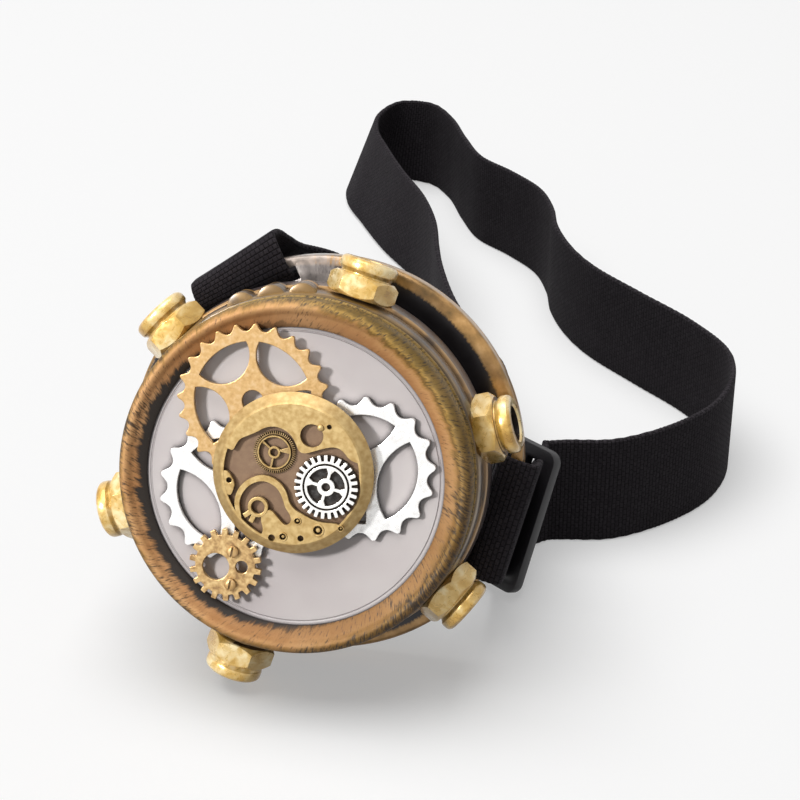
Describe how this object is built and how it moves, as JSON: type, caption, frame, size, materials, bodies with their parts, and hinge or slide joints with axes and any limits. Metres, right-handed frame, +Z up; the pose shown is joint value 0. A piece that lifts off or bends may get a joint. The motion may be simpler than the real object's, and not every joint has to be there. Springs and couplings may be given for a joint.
{
  "type": "steampunk monocle",
  "caption": "Costume eyepiece with a screw-on bezel, clear lens dressed with cogs and a watch movement, side nuts and a black elastic head strap with a slider.",
  "frame": {"origin": "middle of the footprint, on the table that the eyepiece and strap stand on", "axes": "+Z up, the lens faces -Y and leans back, +X to the right as seen from the front"},
  "size_m": [0.1196, 0.2528, 0.0816],
  "materials": {
    "copper_paint": "antique copper paint brushed over black, satin",
    "black_copper_paint": "black paint with copper dry-brushed on its rings",
    "gold_paint": "pale gold paint, brushed",
    "antique_brass": "antique, satin",
    "dark_bronze": "antique, satin",
    "silver_metal": "silver plated, bright",
    "clear_lens": "clear",
    "black_elastic": "woven elastic, matt",
    "black_plastic": "satin"
  },
  "bodies": {
    "eyecup": {"eyecup_body": "black_copper_paint", "rear_rim": "copper_paint", "strap": "black_elastic", "hex_nut_1": "gold_paint", "hex_nut_2": "gold_paint", "hex_nut_3": "gold_paint", "hex_nut_4": "gold_paint", "hex_nut_5": "gold_paint", "hex_nut_6": "gold_paint"},
    "lens_stack": {"lens": "clear_lens", "silver_gear_left": "silver_metal", "silver_gear_right": "silver_metal", "brass_gear": "antique_brass", "small_gear": "dark_bronze", "gear_screw_1": "antique_brass", "gear_screw_2": "antique_brass", "movement_plate": "antique_brass", "train_bridge": "antique_brass", "lower_bridge": "antique_brass", "train_wheel": "antique_brass", "movement_gear": "silver_metal"},
    "bezel": {"front_bezel": "copper_paint"},
    "slider": {"strap_slider": "black_plastic"}
  },
  "joints": [
    {"name": "bezel_lift", "type": "slide", "parent": "eyecup", "child": "lens_stack", "axis": [0, -0.9367, 0.3502], "range_m": [0, 0.0025]},
    {"name": "bezel_unscrew", "type": "hinge", "parent": "lens_stack", "child": "bezel", "pos_m": [-0.01923, -0.1153, 0.04732], "axis": [0, -0.9367, 0.3502], "range_deg": [0, 360]},
    {"name": "slider_shift", "type": "slide", "parent": "eyecup", "child": "slider", "axis": [0.1298, -0.8188, 0.5592], "range_m": [0, 0.008], "deforming": ["strap"]}
  ],
  "couplings": [
    {"joint": "bezel_lift", "follows": "bezel_unscrew", "m_per_rad": 0.00039788}
  ]
}
